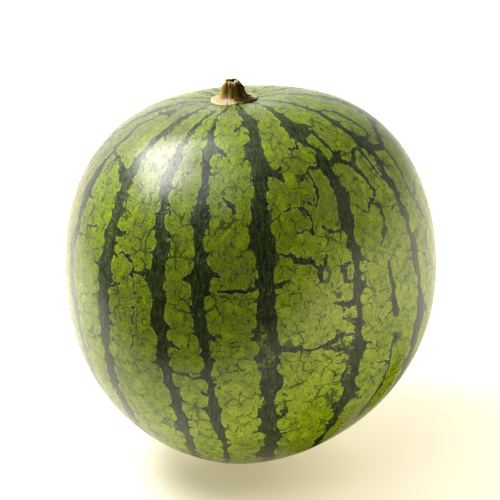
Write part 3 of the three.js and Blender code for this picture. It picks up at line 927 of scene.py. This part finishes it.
def makeStalkMaterial():
    # Cucurbit stalk, dried and cut: corky collar, fibrous ribbed stub, so it is matt and streaky
    look = stalkLook
    material = newMaterial("dryFibrousStalk")
    tree = material.node_tree
    ridge, inside, reach = (add(tree, "ShaderNodeAttribute", take="Fac", attribute_name=name)
                            for name in ("ridge", "inside", "reach"))
    around = add(tree, "ShaderNodeAttribute", take="Vector", attribute_name="around")
    turn, height = (add(tree, "ShaderNodeSeparateXYZ", {0: around}, take=axis)
                    for axis in ("X", "Z"))  # -1 at the left to 1, and 0 on the rind to 1 at the cut

    # the stub: olive on one side to purplish brown on the other, in fibres that run up it
    fibre, thread = (
        add(tree, "ShaderNodeTexNoise", {
            "Vector": add(tree, "ShaderNodeVectorMath", {0: around, 1: drawn}, operation="MULTIPLY"),
            "Scale": scale, "Detail": layers}, take="Fac")
        for drawn, scale, layers in (((9, 9, 1), 1.3, 3), ((20, 20, 1.5), 1, 1)))
    side = add(tree, "ShaderNodeMath", {0: turn, 1: 0.45, 2: fibre}, operation="MULTIPLY_ADD")
    stub = add(tree, "ShaderNodeValToRGB", {0: side})
    ramp = stub.node.color_ramp
    ramp.elements.remove(ramp.elements[1])
    ramp.elements[0].position, ramp.elements[0].color = look["sides"][0][0], linear(look["sides"][0][1])
    for place, colour in look["sides"][1:]:
        ramp.elements.new(place).color = linear(colour)
    low = add(tree, "ShaderNodeMapRange", {"Value": height, "From Min": 0.5, "From Max": 0.75})
    high = add(tree, "ShaderNodeMath", {0: low, 1: 0.65}, operation="MULTIPLY")
    left = add(tree, "ShaderNodeMath", {0: turn, 1: -0.6}, operation="SUBTRACT")
    left = add(tree, "ShaderNodeMath", {0: left}, operation="ABSOLUTE")
    left = add(tree, "ShaderNodeMapRange", {"Value": left, "From Min": 0.35, "From Max": 0.15,
               "To Max": 0.7})
    rust = add(tree, "ShaderNodeMath", {0: low, 1: left}, operation="MULTIPLY")
    # painted shade in the grooves between the ridges, with dark fibre lines
    grooveShadeAndFibres = add(tree, "ShaderNodeMapRange", {"Value": ridge, "From Min": 0.1, "From Max": -0.5,
                 "To Max": 0.8})
    line = add(tree, "ShaderNodeMapRange", {"Value": thread, "From Min": 0.5, "From Max": 0.6,
               "To Max": 0.75})
    grooveShadeAndFibres = add(tree, "ShaderNodeMath", {0: grooveShadeAndFibres, 1: line}, operation="MAXIMUM")
    # dry skin, paler at the foot of the ridges on the olive side
    foot = add(tree, "ShaderNodeMapRange", {"Value": height, "From Min": 0.5, "From Max": 0.28})
    near = add(tree, "ShaderNodeMapRange", {"Value": side, "From Min": 0.5, "From Max": 0.2})
    foot = add(tree, "ShaderNodeMath", {0: foot, 1: near}, operation="MULTIPLY")
    far = add(tree, "ShaderNodeMapRange", {"Value": turn, "From Min": -0.93, "From Max": -1,
              "To Max": 0.6})
    foot = add(tree, "ShaderNodeMath", {0: foot, 1: far}, operation="MAXIMUM")
    for cover, colour in ((high, "darkBrown"), (rust, "rust"), (grooveShadeAndFibres, "darkBrown"), (foot, "pinkTan")):
        stub = add(tree, "ShaderNodeMix", {0: cover, 6: stub, 7: linear(look[colour])}, take=2,
                   data_type="RGBA")

    # the collar: blotched cork with a greenish rim, paler towards its right side as painted light, a painted
    # shadow over its right front, and darker brown near the stub on that side
    flat = add(tree, "ShaderNodeVectorMath", {0: around, 3: reach}, operation="SCALE")
    cork = add(tree, "ShaderNodeTexNoise", {"Vector": flat, "Scale": 1 / look["corkSize"], "Detail": 2},
               take="Fac")
    blotch = add(tree, "ShaderNodeMapRange", {"Value": cork, "From Min": 0.6, "From Max": 0.4})
    # painted light: paler cork towards the collar's right side, where less light falls
    pale = add(tree, "ShaderNodeMapRange", {"Value": turn, "From Min": 0.3, "From Max": 0.8})
    rimEdge = add(tree, "ShaderNodeMath", {0: cork, 1: 2, 2: reach}, operation="MULTIPLY_ADD")
    rimEdge = add(tree, "ShaderNodeMapRange", {"Value": rimEdge, "From Min": 7.4, "From Max": 7.9,
                  "To Max": 0.85})
    # painted shadow: a dark band over the collar's right front side
    shaded = add(tree, "ShaderNodeVectorMath", {0: around, 1: look["shadedSide"]}, take="Value",
                 operation="DOT_PRODUCT")
    shaded = add(tree, "ShaderNodeMath", {0: cork, 1: 0.6, 2: shaded}, operation="MULTIPLY_ADD")
    shaded = add(tree, "ShaderNodeMapRange", {"Value": shaded, "From Min": 1.08, "From Max": 1.2,
                 "To Max": 0.97})
    spread = add(tree, "ShaderNodeMath", {0: turn, 1: 1.2, 2: cork}, operation="MULTIPLY_ADD")
    spread = add(tree, "ShaderNodeMath", {0: reach, 1: -0.5, 2: spread}, operation="MULTIPLY_ADD")
    spread = add(tree, "ShaderNodeMapRange", {"Value": spread, "From Min": -1.25, "From Max": -0.95,
                 "To Max": 0.97})
    disc = linear(look["litCork"])
    for cover, colour in ((pale, "paintedLightCork"), (blotch, "pinkTan"), (rimEdge, "greenRim"),
                          (shaded, "shadedCork"), (spread, "footBrown")):
        disc = add(tree, "ShaderNodeMix", {0: cover, 6: disc, 7: linear(look[colour])}, take=2,
                   data_type="RGBA")

    # pith laid bare along the cut, in teeth of uneven length, and the dark hollow in the middle
    collar = add(tree, "ShaderNodeMath", {0: thread, 1: -0.15, 2: height}, operation="MULTIPLY_ADD")
    collar = add(tree, "ShaderNodeMapRange", {"Value": collar, "From Min": 0.2, "From Max": 0.13})
    torn = add(tree, "ShaderNodeMath", {0: fibre, 1: 0.6, 2: height}, operation="MULTIPLY_ADD")
    torn = add(tree, "ShaderNodeMapRange", {"Value": torn, "From Min": 1.22, "From Max": 1.26})
    body = stub
    for cover, over in ((collar, disc), (torn, linear(look["pith"])), (inside, linear(look["hollow"]))):
        body = add(tree, "ShaderNodeMix", {0: cover, 6: body, 7: over}, take=2, data_type="RGBA")
    grain = add(tree, "ShaderNodeMath", {0: thread, 1: cork}, operation="ADD")
    bump = add(tree, "ShaderNodeBump", {"Height": grain, "Strength": 1, "Distance": look["relief"] * mm})
    shader = add(tree, "ShaderNodeBsdfPrincipled", {"Base Color": body, "Roughness": look["roughness"],
                 "Normal": bump, "IOR": 1.5, "Specular IOR Level": look["sheen"]})
    add(tree, "ShaderNodeOutputMaterial", {"Surface": shader})
    return material


melon.data.materials.append(makeRind())
stalk.data.materials.append(makeStalkMaterial())
for piece, node, slot in ((melon, "melon", "rind"), (stalk, "stalk", "stalk")):
    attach(piece, "root")
    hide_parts(node)
print("materials given, pieces placed")

floorLook = {
    "size": 5000,
    "edgeBearing": -120,  # the card ends on this side, out of frame, and the dark beyond it shows
    "edgeAway": 134,  # in the gloss of the fruit
    "below": 0.05,
    "card": "#c8c8c5",
    "roughness": 0.4,
    "toothSize": 2.5,  # faint unevenness of the card, mm
    "toothDepth": 0.05,
    # a light table: light comes up through the card, least of it round the fruit's foot, which is a painted
    # shadow
    "paintedShadowMiddle": (-12, -24, 0),
    "glow": ((10, "#807860"), (45, "#a49a80"), (110, "#b7ad98"), (230, "#f7edd6")),  # mm from there
    "glowStrength": 2,
}


def makeFloor():
    look = floorLook
    far, near, low = -look["size"] / 2, look["edgeAway"], -look["below"]
    turn = Matrix.Rotation(math.radians(look["edgeBearing"]), 4, "Z")
    around = ((near, far), (near, -far), (far, -far), (far, far))
    corners = [turn @ Vector((x, y, low)) * mm for x, y in around]
    mesh = bpy.data.meshes.new("floor")
    mesh.from_pydata(corners, [], [(0, 1, 2, 3)])
    made = putInScene("floor", mesh)
    # Coated card: a smooth matt white with a slight warmth that gives off light, with a painted shadow round
    # the fruit's foot
    material = newMaterial("glowingCardPaintedShadow")
    tree = material.node_tree
    place = add(tree, "ShaderNodeTexCoord", take="Object")
    tooth = add(tree, "ShaderNodeTexNoise", {"Vector": place, "Scale": 1 / (look["toothSize"] * mm),
                "Detail": 2}, take="Fac")
    bump = add(tree, "ShaderNodeBump", {"Height": tooth, "Strength": 0.1,
               "Distance": look["toothDepth"] * mm})
    # painted shadow: the card's glow is dimmest near the fruit and grows with distance from there
    away = add(tree, "ShaderNodeVectorMath", {0: place, 1: tuple(Vector(look["paintedShadowMiddle"]) * mm)},
               take="Value", operation="DISTANCE")
    reach = look["glow"][-1][0]
    away = add(tree, "ShaderNodeMath", {0: away, 1: reach * mm}, operation="DIVIDE")
    glow = add(tree, "ShaderNodeValToRGB", {0: away})
    ramp = glow.node.color_ramp
    ramp.elements.remove(ramp.elements[1])
    for distance, colour in look["glow"]:
        ramp.elements.new(distance / reach).color = linear(colour)
    ramp.elements.remove(ramp.elements[0])
    shader = add(tree, "ShaderNodeBsdfPrincipled", {"Base Color": linear(look["card"]), "Normal": bump,
                 "Roughness": look["roughness"], "IOR": 1.5,
                 "Emission Color": glow, "Emission Strength": look["glowStrength"]})
    add(tree, "ShaderNodeOutputMaterial", {"Surface": shader})
    mesh.materials.append(material)


light = {
    "room": 0.04,  # brightness of the dark side of the room
    "walls": (((-0.5, 0.866, 0), 1), ((0, 1, 0), 0.8), ((0.6, 0.8, 0), 0.35)),  # which way, brightness
    "wallFall": 8,  # how soon a wall's light is gone away from its middle
    "aim": (0, 0, 60),  # every softbox faces this place
    # softboxes: middle, width and height in mm, brightness, colour
    "boxes": {
        "key": ((-215, 62, 392), (310, 170), 17.6, "#fffffa"),
        "second": ((-60, 120, 470), (90, 130), 4.2, "#fffffa"),
        "top": ((-150, -260, 700), (450, 420), 2.2, "#fffffa"),
        "back": ((100, 100, 900), (500, 500), 0.5, "#fffffa"),
        "fill": ((900, 100, 95), (1300, 190), 0.8, "#ffffd3"),
        "high": ((850, 0, 450), (900, 400), 0.5, "#fffff0"),
    },
}


def makeLight():
    scene = bpy.context.scene
    scene.view_settings.view_transform = "Standard"
    world = bpy.data.worlds.new("room")
    scene.world = world
    world.use_nodes = True
    tree = world.node_tree
    tree.nodes.clear()
    place = add(tree, "ShaderNodeTexCoord", take="Generated")
    glow = light["room"]
    for side, brightness in light["walls"]:
        wall = add(tree, "ShaderNodeVectorMath", {0: place, 1: side}, take="Value", operation="DOT_PRODUCT")
        wall = add(tree, "ShaderNodeMapRange", {"Value": wall, "From Min": -0.4, "From Max": 1})
        wall = add(tree, "ShaderNodeMath", {0: wall, 1: light["wallFall"]}, operation="POWER")
        glow = add(tree, "ShaderNodeMath", {0: wall, 1: brightness, 2: glow}, operation="MULTIPLY_ADD")
    sky = add(tree, "ShaderNodeBackground", {"Color": (1, 1, 1, 1), "Strength": glow})
    add(tree, "ShaderNodeOutputWorld", {"Surface": sky})
    for name, (spot, (width, height), brightness, colour) in light["boxes"].items():
        box = bpy.data.lights.new(name, "AREA")
        box.shape = "RECTANGLE"
        box.size, box.size_y = width * mm, height * mm
        box.energy = brightness * math.pi * box.size * box.size_y
        box.color = linear(colour)[:3]
        made = putInScene(name, box)
        made.location = Vector(spot) * mm
        away = made.location - Vector(light["aim"]) * mm
        made.rotation_euler = away.to_track_quat("Z", "Y").to_euler()
        made.visible_camera = False


makeFloor()
makeLight()
print("floor and light set")
